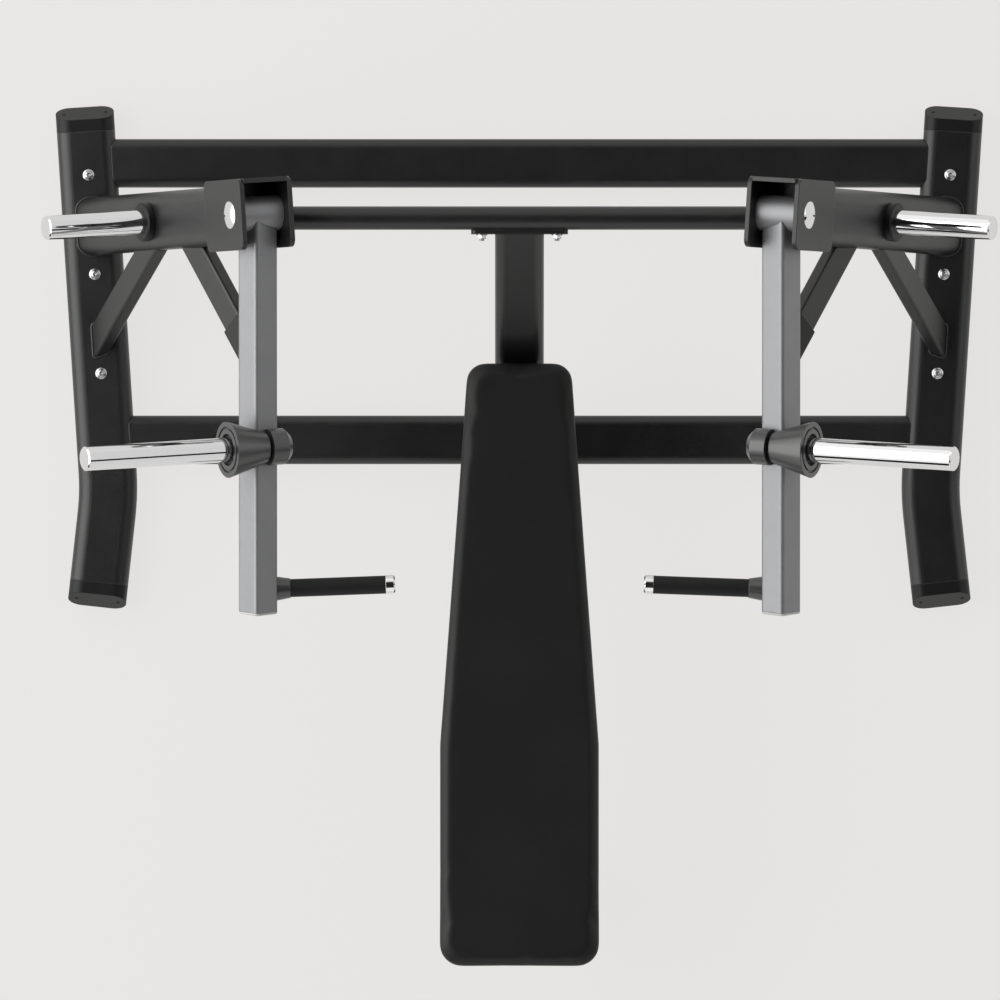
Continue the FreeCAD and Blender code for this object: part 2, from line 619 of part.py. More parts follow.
def make_cross_tube():
    """The round tube between the inner ears, with the flange that the spine bolts to."""
    place = FreeCAD.Placement(FreeCAD.Vector(-value("pivot_x"), value("cross_y"), value("cross_z")),
                              FreeCAD.Rotation(FreeCAD.Vector(0, 1, 0), 90))
    tube = round_bar("CrossTube", "cross_radius", "2 * pivot_x", place)
    bore = primitive("Cylinder", "CrossBore", place, Radius="cross_radius - tube_wall",
                     Height="2 * pivot_x")
    outside = primitive("Box", "OutsideEar", None, Length="pivot_z", Width="pivot_z",
                        Height="2 * pivot_z")
    corner = side_point(-value("ear_gap - post_face + plate"), -value("pivot_z / 2"),
                        -value("pivot_z"))
    outside.Placement = frame_of(corner, along_axle, along_post)
    other_side = mirrored(outside, "OutsideEarMirror")
    keep(cut("CrossTubeCut", tube, bore, outside, other_side), "cross_tube")
    envelope = primitive("Cylinder", "CrossEnvelope", place, Radius="cross_radius",
                         Height="2 * pivot_x")
    flange = ("flange_wide", "flange_high", "flange_corner")
    towards_head = frame_of(zero, FreeCAD.Vector(1, 0, 0), FreeCAD.Vector(0, -1, 0))
    centre_z = value("flange_z")

    def flange_place(y):
        return FreeCAD.Placement(FreeCAD.Vector(0, y, centre_z), towards_head.Rotation)

    rear = box_tube("TubeFlange", flange, "tube_flange_thick",
                    flange_place(value("flange_y + tube_flange_thick")))
    keep(cut("TubeFlangeCoped", rear, envelope), "tube_flange")
    front = box_tube("SpineFlange", flange, "spine_flange_thick", flange_place(value("flange_y")))
    keep(front, "spine_flange")
    bolts = []
    front_y = value("flange_y - spine_flange_thick")
    rear_y = value("flange_y + tube_flange_thick")
    for side in (-1, 1):
        for rise in (-1, 1):
            x = side * value("flange_bolt_off")
            z = centre_z + rise * value("flange_bolt_rise")
            head = frame_of(FreeCAD.Vector(x, front_y, z), up, FreeCAD.Vector(0, -1, 0))
            bolts.append(round_bar("FlangeBolt%d%d" % (side + 1, rise + 1), "flange_bolt_radius",
                                   "flange_bolt_high - 2", head, "horn_chamfer"))
            if rise < 0:
                nut = frame_of(FreeCAD.Vector(x, rear_y, z), up, FreeCAD.Vector(0, 1, 0))
                bolts.append(round_bar("FlangeNut%d" % (side + 1), "flange_bolt_radius",
                                       "flange_bolt_high / 2", nut))
    keep(group("FlangeBolts", bolts), "flange_bolts")
    return front_y


def make_spine(flange_face_y):
    """A tube that slopes from the flange to the pad, then the level beam under the pad."""
    section = ("spine_wide", "spine_high", "spine_corner")
    sideways = FreeCAD.Vector(1, 0, 0)
    pitch = math.radians(value("spine_pitch"))
    slope = FreeCAD.Vector(0, -math.cos(pitch), -math.sin(pitch))
    top = FreeCAD.Vector(0, flange_face_y, value("flange_z"))
    drop = top.z - value("beam_z")
    corner = top + slope * (drop / math.sin(pitch))
    back_off = slope * value("spine_high")
    sloped = box_tube("Spine", section, "pivot_z", frame_of(top - back_off, sideways, slope),
                      "tube_wall")
    beam_place = frame_of(FreeCAD.Vector(0, corner.y + value("2 * spine_high"), corner.z), sideways,
                          FreeCAD.Vector(0, -1, 0))
    beam_length = "2 * spine_high + %.6f - beam_front_y" % corner.y
    beam = box_tube("PadBeam", section, beam_length, beam_place, "tube_wall")
    mitre = (slope + FreeCAD.Vector(0, -1, 0)).normalize()
    ahead = primitive("Box", "AheadOfMitre", None, Length="pivot_z", Width="pivot_z",
                      Height="2 * pivot_z")
    half = FreeCAD.Vector(-value("pivot_z / 2"), -value("pivot_z / 2"), 0)
    mitre_place = frame_of(corner, sideways, mitre)
    ahead.Placement = mitre_place.multiply(FreeCAD.Placement(half, FreeCAD.Rotation()))
    behind = primitive("Box", "BehindMitre", None, Length="pivot_z", Width="pivot_z",
                       Height="2 * pivot_z")
    back = FreeCAD.Vector(half.x, half.y, -value("2 * pivot_z"))
    behind.Placement = mitre_place.multiply(FreeCAD.Placement(back, FreeCAD.Rotation()))
    rearward = primitive("Box", "BehindFlangeFace", None, Length="2 * pivot_z", Width="pivot_z",
                         Height="2 * pivot_z")
    rearward.Placement.Base = FreeCAD.Vector(-value("pivot_z"), flange_face_y, 0)
    keep(cut("SpineCut", sloped, ahead, rearward), "spine")
    keep(cut("PadBeamCut", beam, behind), "pad_beam")


def make_supports():
    """The post on the front crossbar, the front leg, its foot, end caps and rubber feet."""
    under_beam = "beam_z - spine_high / 2"
    post_section = ("centre_post_wide", "centre_post_wide", "leg_corner")
    bar_top = value("bar_z + bar_high / 2")
    post = box_tube("CentrePost", post_section, under_beam + " - bar_z - bar_high / 2",
                    FreeCAD.Placement(FreeCAD.Vector(0, value("front_bar_y"), bar_top),
                                      FreeCAD.Rotation()), "tube_wall")
    keep(post, "centre_post")
    foot_section = ("front_foot_wide", "bar_high", "bar_corner")
    foot_z = value("foot_high + bar_high / 2")
    leg_section = ("leg_wide", "leg_wide", "leg_corner")
    leg_base = FreeCAD.Vector(0, value("leg_y"), value("foot_high + bar_high"))
    leg = box_tube("FrontLeg", leg_section, under_beam + " - foot_high - bar_high",
                   FreeCAD.Placement(leg_base, FreeCAD.Rotation()), "tube_wall")
    keep(leg, "front_leg")
    across = FreeCAD.Vector(0, 1, 0)
    start = FreeCAD.Vector(-value("front_foot_long / 2"), value("leg_y"), foot_z)
    foot = box_tube("FrontFoot", foot_section, "front_foot_long",
                    frame_of(start, across, FreeCAD.Vector(1, 0, 0)), "tube_wall")
    keep(foot, "front_foot")
    caps = []
    rubber = []
    for side in (-1, 1):
        end = FreeCAD.Vector(side * value("front_foot_long / 2"), value("leg_y"), foot_z)
        caps.append(box_tube("FootCap%d" % (side + 1), foot_section, "foot_cap_thick",
                             frame_of(end, across, FreeCAD.Vector(side, 0, 0))))
        spot = FreeCAD.Vector(side * value("front_foot_long / 2 - rubber_radius - 10"),
                              value("leg_y"), 0)
        rubber.append(primitive("Cylinder", "FrontRubber%d" % (side + 1),
                                FreeCAD.Placement(spot, FreeCAD.Rotation()),
                                Radius="rubber_radius", Height="foot_high"))
    keep(group("FootCaps", caps), "foot_caps")
    beam_end = FreeCAD.Vector(0, value("beam_front_y"), value("beam_z"))
    caps.append(box_tube("BeamCap", ("spine_wide", "spine_high", "spine_corner"), "foot_cap_thick",
                         frame_of(beam_end, FreeCAD.Vector(1, 0, 0), FreeCAD.Vector(0, -1, 0))))
    nodes["foot_caps"].Links = caps
    return rubber


def pad_outline(inset):
    """Half of the pad's tapered outline, from the head end to the foot end, inset all round."""
    head = value("pad_head_half") - inset
    wide = value("pad_half") - inset
    return [(head, value("pad_head_y") - inset), (wide, value("pad_taper_y")),
            (wide, value("pad_foot_y") + inset)]


def pad_slab(name, inset, bottom, thick):
    """A flat slab of the pad's outline with rounded corners."""
    right = pad_outline(inset)
    corners = right + [(-x, y) for x, y in reversed(right)]
    body = doc.addObject("PartDesign::Body", name)
    sketch = sketch_on(body, name + "Outline", "XY_Plane")
    count = len(corners)
    for index, (x, y) in enumerate(corners):
        end = corners[(index + 1) % count]
        sketch.addGeometry(Part.LineSegment(FreeCAD.Vector(x, y, 0), FreeCAD.Vector(*end, 0)), False)
        sketch.addConstraint(Sketcher.Constraint("Block", index))
    pad = body.newObject("PartDesign::Pad", name + "Pad")
    pad.Profile = sketch
    bind(pad, Length=thick)
    doc.recompute()
    for end, corner in (("Head", "pad_head_corner"), ("Foot", "pad_foot_corner")):
        base = body.Tip
        edge_y = corners[0][1] if end == "Head" else corners[2][1]
        picked = ["Edge%d" % number for number, edge in enumerate(base.Shape.Edges, start=1)
                  if abs(edge.CenterOfMass.y - edge_y) < 0.01 and abs(edge.tangentAt(0).z) > 0.9]
        soft = body.newObject("PartDesign::Fillet", name + end)
        soft.Base = (base, picked)
        bind(soft, Radius="%s - %g" % (corner, inset))
        doc.recompute()
    body.Placement.Base = FreeCAD.Vector(0, 0, bottom)
    return body


def make_pad():
    """Cushion on a plywood board, on two cross plates welded to the beam."""
    cushion_bottom = value("pad_top - pad_thick")
    board_bottom = cushion_bottom - value("board_thick")
    cushion = pad_slab("Cushion", 0, cushion_bottom, "pad_thick")
    keep(cushion, "pad_cushion")
    keep(pad_slab("Board", value("board_inset"), board_bottom, "board_thick"), "pad_board")
    plates = []
    bolts = []
    bracket = ("bracket_long", "bracket_wide", "leg_corner")
    for name, y_text in (("Rear", "bracket_rear_y"), ("Front", "bracket_front_y")):
        under = board_bottom - value("bracket_thick")
        base = FreeCAD.Vector(0, value(y_text), under)
        plates.append(box_tube(name + "Plate", bracket, "bracket_thick",
                               FreeCAD.Placement(base, FreeCAD.Rotation())))
        for side in (-1, 1):
            spot = base + FreeCAD.Vector(side * value("pad_bolt_off"), 0, 0)
            bolts.append(round_bar("%sPadBolt%d" % (name, side + 1), "pad_bolt_radius",
                                   "pad_bolt_high", frame_of(spot, FreeCAD.Vector(1, 0, 0), up * -1),
                                   "pad_bolt_high / 4"))
    keep(group("PadPlates", plates), "pad_brackets")
    keep(group("PadBolts", bolts), "pad_bolts")


def check_and_export():
    doc.recompute()
    for item in doc.Objects:
        if "Invalid" in item.State or "Error" in item.State:
            raise RuntimeError("%s failed: %s" % (item.Name, item.State))
    os.makedirs("parts", exist_ok=True)
    for node, item in nodes.items():
        shape = item.Shape
        if shape.isNull() or not shape.isValid() or not shape.Solids:
            raise RuntimeError("%s has no valid solid" % node)
        shape.exportStep("parts/%s.step" % node)
        print("%-22s solids %d  volume %.0f" % (node, len(shape.Solids), shape.Volume))
    print(len(nodes), "nodes")


rail_place, rail_envelope = make_rail()
make_rail_caps(rail_place)
make_crossbars(rail_envelope)
rail_feet = make_rail_bolts(rail_place)
post_envelope = make_post()
make_braces(post_envelope)
axle_envelope = make_axle()
make_bracket(axle_envelope)
make_storage_horn()
arm_envelope = make_arm()
make_weight_horn(arm_envelope)
make_handle(arm_envelope)
stop_clearance = box_tube("StopClearance", arm_section(value("stop_gap")), "arm_length",
                          arm_place(0))
make_stop(post_envelope, stop_clearance)
make_spine(make_cross_tube())
front_rubber = make_supports()
rubber = rail_feet + [mirrored(foot, foot.Name + "Mirror") for foot in rail_feet] + front_rubber
keep(group("RubberFeet", rubber), "rubber_feet")
make_pad()
check_and_export()
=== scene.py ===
import bmesh
import bpy
import json
import math
from mathutils import Matrix, Vector


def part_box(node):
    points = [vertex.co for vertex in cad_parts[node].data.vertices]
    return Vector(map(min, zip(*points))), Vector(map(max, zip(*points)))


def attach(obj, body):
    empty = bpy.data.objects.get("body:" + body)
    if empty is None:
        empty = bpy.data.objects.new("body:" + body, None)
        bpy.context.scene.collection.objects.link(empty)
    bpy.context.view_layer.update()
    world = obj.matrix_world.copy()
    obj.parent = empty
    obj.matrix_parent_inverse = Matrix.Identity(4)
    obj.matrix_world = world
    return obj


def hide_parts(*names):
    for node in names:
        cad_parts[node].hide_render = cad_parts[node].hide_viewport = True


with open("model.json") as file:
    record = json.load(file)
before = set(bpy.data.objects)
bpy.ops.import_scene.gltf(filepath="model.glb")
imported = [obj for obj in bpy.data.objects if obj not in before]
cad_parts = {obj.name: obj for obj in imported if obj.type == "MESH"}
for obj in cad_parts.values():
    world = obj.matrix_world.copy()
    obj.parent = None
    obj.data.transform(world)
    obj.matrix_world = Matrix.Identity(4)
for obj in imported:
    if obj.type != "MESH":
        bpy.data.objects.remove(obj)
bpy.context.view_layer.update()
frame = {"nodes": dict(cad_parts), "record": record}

nodes = frame["nodes"]


# small helpers for shader trees

def link(tree, source, target):
    tree.links.new(source, target)


def addNode(tree, kind, **settings):
    node = tree.nodes.new(kind)
    for key, setting in settings.items():
        if key in node.bl_rna.properties:
            setattr(node, key, setting)
        else:
            node.inputs[key.replace("_", " ")].default_value = setting
    return node


def mathNode(tree, operation, first, second=None, clamp=False):
    node = addNode(tree, "ShaderNodeMath", operation=operation)
    node.use_clamp = clamp
    for index, feed in enumerate((first, second)):
        if feed is None:
            continue
        if isinstance(feed, (int, float)):
            node.inputs[index].default_value = feed
        else:
            link(tree, feed, node.inputs[index])
    return node.outputs[0]


def mixColour(tree, factor, first, second, blend="MIX"):
    node = addNode(tree, "ShaderNodeMix", data_type="RGBA", blend_type=blend)
    for index, feed in ((0, factor), (6, first), (7, second)):
        socket = node.inputs[index]
        if isinstance(feed, (int, float)):
            socket.default_value = feed
        elif isinstance(feed, tuple):
            socket.default_value = (*feed, 1)
        else:
            link(tree, feed, socket)
    return node.outputs[2]


def mixValue(tree, factor, low, high):
    node = addNode(tree, "ShaderNodeMapRange", To_Min=low, To_Max=high)
    link(tree, factor, node.inputs["Value"])
    return node.outputs["Result"]


def newGroup(name, inputs, outputs):
    group = bpy.data.node_groups.new(name, "ShaderNodeTree")
    for label, start in inputs:
        socket = group.interface.new_socket(label, in_out="INPUT", socket_type="NodeSocketFloat")
        socket.default_value = start
    for label, kind in outputs:
        group.interface.new_socket(label, in_out="OUTPUT", socket_type=kind)
    return group, group.nodes.new("NodeGroupInput"), group.nodes.new("NodeGroupOutput")


def placeGroup(tree, group, **settings):
    node = tree.nodes.new("ShaderNodeGroup")
    node.node_tree = group
    for key, setting in settings.items():
        node.inputs[key].default_value = setting
    return node


# effects shared by several finishes

def buildPaintGrain():
    group, feed, out = newGroup("paintGrain", [("Size", 0.0016), ("Mottle", 0.05)],
                                [("Height", "NodeSocketFloat"), ("Speck", "NodeSocketFloat"),
                                 ("Cloud", "NodeSocketFloat")])
    coords = addNode(group, "ShaderNodeTexCoord")
    fineScale = mathNode(group, "DIVIDE", 1.0, feed.outputs["Size"])
    pebbles = addNode(group, "ShaderNodeTexVoronoi", feature="SMOOTH_F1", Smoothness=0.6)
    link(group, coords.outputs["Object"], pebbles.inputs["Vector"])
    link(group, fineScale, pebbles.inputs["Scale"])
    fuzz = addNode(group, "ShaderNodeTexNoise", Detail=3.0, Roughness=0.6)
    link(group, coords.outputs["Object"], fuzz.inputs["Vector"])
    link(group, mathNode(group, "MULTIPLY", fineScale, 1.7), fuzz.inputs["Scale"])
    height = mathNode(group, "ADD", pebbles.outputs["Distance"],
                      mathNode(group, "MULTIPLY", fuzz.outputs["Fac"], 0.5))
    link(group, height, out.inputs["Height"])
    speckRamp = addNode(group, "ShaderNodeMapRange", From_Min=0.62, From_Max=0.8)
    link(group, fuzz.outputs["Fac"], speckRamp.inputs["Value"])
    link(group, speckRamp.outputs["Result"], out.inputs["Speck"])
    cloud = addNode(group, "ShaderNodeTexNoise", Detail=4.0, Roughness=0.55)
    link(group, coords.outputs["Object"], cloud.inputs["Vector"])
    link(group, mathNode(group, "DIVIDE", 1.0, feed.outputs["Mottle"]), cloud.inputs["Scale"])
    link(group, cloud.outputs["Fac"], out.inputs["Cloud"])
    return group


def buildEdgeWear():
    # rounds sharp edges for the light, and marks them where the finish rubs thin
    group, feed, out = newGroup("edgeWear", [("Reach", 0.0025), ("Amount", 0.5)],
                                [("Mask", "NodeSocketFloat"), ("Normal", "NodeSocketVector")])
    bevel = addNode(group, "ShaderNodeBevel", samples=6)
    link(group, feed.outputs["Reach"], bevel.inputs["Radius"])
    surface = addNode(group, "ShaderNodeNewGeometry")
    dot = addNode(group, "ShaderNodeVectorMath", operation="DOT_PRODUCT")
    link(group, bevel.outputs["Normal"], dot.inputs[0])
    link(group, surface.outputs["Normal"], dot.inputs[1])
    sharp = addNode(group, "ShaderNodeMapRange", From_Min=0.995, From_Max=0.9)
    link(group, dot.outputs["Value"], sharp.inputs["Value"])
    coords = addNode(group, "ShaderNodeTexCoord")
    patches = addNode(group, "ShaderNodeTexNoise", Scale=34.0, Detail=5.0, Roughness=0.65)
    link(group, coords.outputs["Object"], patches.inputs["Vector"])
    broken = addNode(group, "ShaderNodeMapRange", From_Min=0.42, From_Max=0.62)
    link(group, patches.outputs["Fac"], broken.inputs["Value"])
    worn = mathNode(group, "MULTIPLY", sharp.outputs["Result"], broken.outputs["Result"])
    link(group, mathNode(group, "MULTIPLY", worn, feed.outputs["Amount"], clamp=True),
         out.inputs["Mask"])
    link(group, bevel.outputs["Normal"], out.inputs["Normal"])
    return group


def buildDustFilm():
    group, feed, out = newGroup("dustFilm", [("Amount", 0.3)], [("Mask", "NodeSocketFloat")])
    surface = addNode(group, "ShaderNodeNewGeometry")
    split = addNode(group, "ShaderNodeSeparateXYZ")
    link(group, surface.outputs["Normal"], split.inputs[0])
    upward = addNode(group, "ShaderNodeMapRange", From_Min=0.3, From_Max=1.0)
    link(group, split.outputs["Z"], upward.inputs["Value"])
    coords = addNode(group, "ShaderNodeTexCoord")
    drift = addNode(group, "ShaderNodeTexNoise", Scale=9.0, Detail=6.0, Roughness=0.7)
    link(group, coords.outputs["Object"], drift.inputs["Vector"])
    patchy = addNode(group, "ShaderNodeMapRange", From_Min=0.35, From_Max=0.75)
    link(group, drift.outputs["Fac"], patchy.inputs["Value"])
    film = mathNode(group, "MULTIPLY", upward.outputs["Result"], patchy.outputs["Result"])
    link(group, mathNode(group, "MULTIPLY", film, feed.outputs["Amount"], clamp=True),
         out.inputs["Mask"])
    return group


def buildFineScratches():
    group, feed, out = newGroup("fineScratches", [("Length", 60.0)],
                                [("Height", "NodeSocketFloat"), ("Mask", "NodeSocketFloat")])
    coords = addNode(group, "ShaderNodeTexCoord")
    heights = []
    for turn, squeeze in ((0.4, 26.0), (1.9, 18.0)):
        mapping = addNode(group, "ShaderNodeMapping")
        mapping.inputs["Rotation"].default_value = (0.3, turn, turn * 0.7)
        mapping.inputs["Scale"].default_value = (1.0, squeeze, squeeze)
        link(group, coords.outputs["Object"], mapping.inputs["Vector"])
        noise = addNode(group, "ShaderNodeTexNoise", Detail=4.0, Roughness=0.7)
        link(group, mapping.outputs["Vector"], noise.inputs["Vector"])
        link(group, feed.outputs["Length"], noise.inputs["Scale"])
        heights.append(noise.outputs["Fac"])
    total = mathNode(group, "MULTIPLY", mathNode(group, "ADD", *heights), 0.5)
    link(group, total, out.inputs["Height"])
    marks = addNode(group, "ShaderNodeMapRange", From_Min=0.5, From_Max=0.7)
    link(group, total, marks.inputs["Value"])
    link(group, marks.outputs["Result"], out.inputs["Mask"])
    return group


paintGrain = buildPaintGrain()
edgeWear = buildEdgeWear()
dustFilm = buildDustFilm()
fineScratches = buildFineScratches()


def startMaterial(name, **settings):
    material = bpy.data.materials.new(name)
    material.use_nodes = True
    tree = material.node_tree
    shader = tree.nodes["Principled BSDF"]
    for key, setting in settings.items():
        shader.inputs[key.replace("_", " ")].default_value = setting
    return material, tree, shader


def bumpInto(tree, shader, height, strength, distance, under=None):
    bump = addNode(tree, "ShaderNodeBump", Strength=strength, Distance=distance)
    link(tree, height, bump.inputs["Height"])
    if under is not None:
        link(tree, under, bump.inputs["Normal"])
    link(tree, bump.outputs["Normal"], shader.inputs["Normal"])


def coatedMetal(name, settings):
    # powder coat: pebbled skin, faint mottling, thin wear along edges, a trace of dust
    material, tree, shader = startMaterial(name, Metallic=settings["metallic"],
                                           Specular_IOR_Level=settings["specular"])
    grain = placeGroup(tree, paintGrain, Size=settings["grainSize"], Mottle=settings["mottle"])
    wear = placeGroup(tree, edgeWear, Reach=settings["edgeReach"], Amount=settings["wear"])
    dust = placeGroup(tree, dustFilm, Amount=settings["dust"])
    paint = mixColour(tree, grain.outputs["Cloud"], settings["dark"], settings["light"])
    specked = mixColour(tree, mathNode(tree, "MULTIPLY", grain.outputs["Speck"], settings["speck"]),
                        paint, settings["speckColour"])
    rubbed = mixColour(tree, wear.outputs["Mask"], specked, settings["worn"])
    dusty = mixColour(tree, dust.outputs["Mask"], rubbed, settings["dustColour"])
    link(tree, dusty, shader.inputs["Base Color"])
    rough = mixValue(tree, grain.outputs["Cloud"], settings["rough"] - 0.05,
                     settings["rough"] + 0.06)
    link(tree, rough, shader.inputs["Roughness"])
    bumpInto(tree, shader, grain.outputs["Height"], settings["bump"], settings["grainSize"] * 0.4,
             wear.outputs["Normal"])
    return material


def blackPaint():
    return coatedMetal("blackPowderCoat", {
        "dark": (0.0040, 0.0040, 0.0041), "light": (0.0068, 0.0068, 0.0070),
        "worn": (0.05, 0.05, 0.05), "speckColour": (0.05, 0.05, 0.05), "speck": 0.5,
        "dustColour": (0.03, 0.029, 0.027), "dust": 0.08, "metallic": 0.0, "specular": 0.55,
        "rough": 0.37, "grainSize": 0.0021, "mottle": 0.07, "edgeReach": 0.003, "wear": 0.3,
        "bump": 0.3})


def silverPaint():
    return coatedMetal("silverMetallicCoat", {
        "dark": (0.225, 0.228, 0.236), "light": (0.268, 0.271, 0.279),
        "worn": (0.36, 0.36, 0.37), "speckColour": (0.13, 0.133, 0.138), "speck": 0.8,
        "dustColour": (0.28, 0.275, 0.27), "dust": 0.06, "metallic": 0.75, "specular": 0.5,
        "rough": 0.45, "grainSize": 0.0017, "mottle": 0.05, "edgeReach": 0.0025, "wear": 0.3,
        "bump": 0.35})


def polishedMetal(name, settings):
    material, tree, shader = startMaterial(name, Metallic=1.0)
    marks = placeGroup(tree, fineScratches, Length=settings["length"])
    wear = placeGroup(tree, edgeWear, Reach=settings["edgeReach"], Amount=0.4)
    tone = mixColour(tree, marks.outputs["Mask"], settings["bright"], settings["dull"])
    link(tree, mixColour(tree, wear.outputs["Mask"], tone, settings["dull"]),
         shader.inputs["Base Color"])
    rough = mixValue(tree, marks.outputs["Mask"], settings["rough"],
                     settings["rough"] + settings["haze"])
    link(tree, rough, shader.inputs["Roughness"])
    bumpInto(tree, shader, marks.outputs["Height"], settings["bump"], 0.0001,
             wear.outputs["Normal"])
    return material


def chromePlate():
    return polishedMetal("chromePlate", {
        "bright": (0.80, 0.80, 0.81), "dull": (0.72, 0.72, 0.73), "rough": 0.05, "haze": 0.03,
        "length": 30.0, "bump": 0.008, "edgeReach": 0.0012})


def zincPlate():
    return polishedMetal("zincPlate", {
        "bright": (0.5, 0.5, 0.51), "dull": (0.35, 0.35, 0.36), "rough": 0.26, "haze": 0.2,
        "length": 90.0, "bump": 0.25, "edgeReach": 0.0008})


def bronzeBush():
    return polishedMetal("sinteredBronze", {
        "bright": (0.52, 0.38, 0.2), "dull": (0.34, 0.24, 0.12), "rough": 0.38, "haze": 0.15,
        "length": 120.0, "bump": 0.3, "edgeReach": 0.0008})


def mouldedSkin(name, settings):
    # plastic and rubber: even pigment, soft spark-eroded grain, scuffs that catch the light
    material, tree, shader = startMaterial(name, Specular_IOR_Level=settings["specular"])
    grain = placeGroup(tree, paintGrain, Size=settings["grainSize"], Mottle=0.04)
    wear = placeGroup(tree, edgeWear, Reach=settings["edgeReach"], Amount=settings["wear"])
    marks = placeGroup(tree, fineScratches, Length=70.0)
    base = mixColour(tree, grain.outputs["Cloud"], settings["dark"], settings["light"])
    scuffed = mixColour(tree, mathNode(tree, "MULTIPLY", marks.outputs["Mask"], settings["scuff"]),
                        base, settings["worn"])
    link(tree, mixColour(tree, wear.outputs["Mask"], scuffed, settings["worn"]),
         shader.inputs["Base Color"])
    link(tree, mixValue(tree, marks.outputs["Mask"], settings["rough"], settings["rough"] + 0.12),
         shader.inputs["Roughness"])
    bumpInto(tree, shader, grain.outputs["Height"], settings["bump"], settings["grainSize"] * 0.35,
             wear.outputs["Normal"])
    return material


def blackPlastic():
    return mouldedSkin("mouldedBlackPlastic", {
        "dark": (0.005, 0.005, 0.0051), "light": (0.009, 0.009, 0.0092),
        "worn": (0.035, 0.035, 0.035), "specular": 0.25, "rough": 0.42, "grainSize": 0.0009,
        "bump": 0.25, "edgeReach": 0.002, "wear": 0.25, "scuff": 0.12})


def hubBlack():
    return mouldedSkin("satinBlackHub", {
        "dark": (0.021, 0.021, 0.0213), "light": (0.03, 0.03, 0.0304), "worn": (0.08, 0.08, 0.08),
        "specular": 0.9, "rough": 0.3, "grainSize": 0.0007, "bump": 0.12, "edgeReach": 0.0022,
        "wear": 0.3, "scuff": 0.1})


def solidRubber():
    return mouldedSkin("solidBlackRubber", {
        "dark": (0.016, 0.016, 0.016), "light": (0.024, 0.024, 0.0235), "worn": (0.06, 0.06, 0.058),
        "specular": 0.35, "rough": 0.7, "grainSize": 0.0012, "bump": 0.4, "edgeReach": 0.002,
        "wear": 0.3, "scuff": 0.2})


def gripRubber():
    return mouldedSkin("gripRubber", {
        "dark": (0.0045, 0.0045, 0.0045), "light": (0.0075, 0.0075, 0.0075),
        "worn": (0.025, 0.025, 0.025), "specular": 0.25, "rough": 0.55, "grainSize": 0.0015,
        "bump": 0.5, "edgeReach": 0.0015, "wear": 0.2, "scuff": 0.15})


def silverPlastic():
    return mouldedSkin("palePlugPlastic", {
        "dark": (0.42, 0.42, 0.425), "light": (0.48, 0.48, 0.485), "worn": (0.4, 0.4, 0.4),
        "specular": 0.5, "rough": 0.35, "grainSize": 0.0008, "bump": 0.1, "edgeReach": 0.0015,
        "wear": 0.2, "scuff": 0.1})


def stainedPly():
    material, tree, shader = startMaterial("blackStainedPly", Specular_IOR_Level=0.3)
    coords = addNode(tree, "ShaderNodeTexCoord")
    mapping = addNode(tree, "ShaderNodeMapping")
    mapping.inputs["Scale"].default_value = (6.0, 6.0, 420.0)
    link(tree, coords.outputs["Object"], mapping.inputs["Vector"])
    plies = addNode(tree, "ShaderNodeTexNoise", Scale=1.0, Detail=4.0, Roughness=0.7)
    link(tree, mapping.outputs["Vector"], plies.inputs["Vector"])
    link(tree, mixColour(tree, plies.outputs["Fac"], (0.012, 0.010, 0.009), (0.05, 0.042, 0.035)),
         shader.inputs["Base Color"])
    link(tree, mixValue(tree, plies.outputs["Fac"], 0.6, 0.8), shader.inputs["Roughness"])
    bumpInto(tree, shader, plies.outputs["Fac"], 0.4, 0.0004)
    return material


def padVinyl():
    # matt upholstery vinyl: small leather cells with painted shade in their grooves, soft creases,
    # slight polish where people lie
    settings = {"cell": 620.0, "crease": 26.0, "dark": (0.0048, 0.0048, 0.0048),
                "light": (0.0074, 0.0074, 0.0074), "rough": 0.5}
    material, tree, shader = startMaterial("mattBlackVinyl", Specular_IOR_Level=0.32)
    coords = addNode(tree, "ShaderNodeTexCoord")
    warp = addNode(tree, "ShaderNodeTexNoise", Scale=240.0, Detail=2.0)
    link(tree, coords.outputs["Object"], warp.inputs["Vector"])
    bend = addNode(tree, "ShaderNodeVectorMath", operation="MULTIPLY_ADD")
    bend.inputs[1].default_value = (0.0012, 0.0012, 0.0012)
    link(tree, warp.outputs["Color"], bend.inputs[0])
    link(tree, coords.outputs["Object"], bend.inputs[2])
    leather = addNode(tree, "ShaderNodeTexVoronoi", feature="DISTANCE_TO_EDGE",
                      Scale=settings["cell"])
    link(tree, bend.outputs["Vector"], leather.inputs["Vector"])
    valley = addNode(tree, "ShaderNodeMapRange", From_Min=0.0, From_Max=0.22)
    link(tree, leather.outputs["Distance"], valley.inputs["Value"])
    crease = addNode(tree, "ShaderNodeTexNoise", Scale=settings["crease"], Detail=7.0,
                     Roughness=0.6)
    link(tree, coords.outputs["Object"], crease.inputs["Vector"])
    cloud = addNode(tree, "ShaderNodeTexNoise", Scale=5.0, Detail=3.0)
    link(tree, coords.outputs["Object"], cloud.inputs["Vector"])
    skin = mixColour(tree, cloud.outputs["Fac"], settings["dark"], settings["light"])
    # painted shade: the grooves between the leather cells are coloured darker, as if in shadow
    link(tree, mixColour(tree, mathNode(tree, "SUBTRACT", 1.0, valley.outputs["Result"]), skin,
                         (0.0035, 0.0035, 0.0035)), shader.inputs["Base Color"])
    rough = mixValue(tree, cloud.outputs["Fac"], settings["rough"] - 0.07,
                     settings["rough"] + 0.08)
    link(tree, rough, shader.inputs["Roughness"])
    height = mathNode(tree, "ADD", mathNode(tree, "MULTIPLY", valley.outputs["Result"], 0.35),
                      crease.outputs["Fac"])
    bumpInto(tree, shader, height, 0.22, 0.0009)
    return material


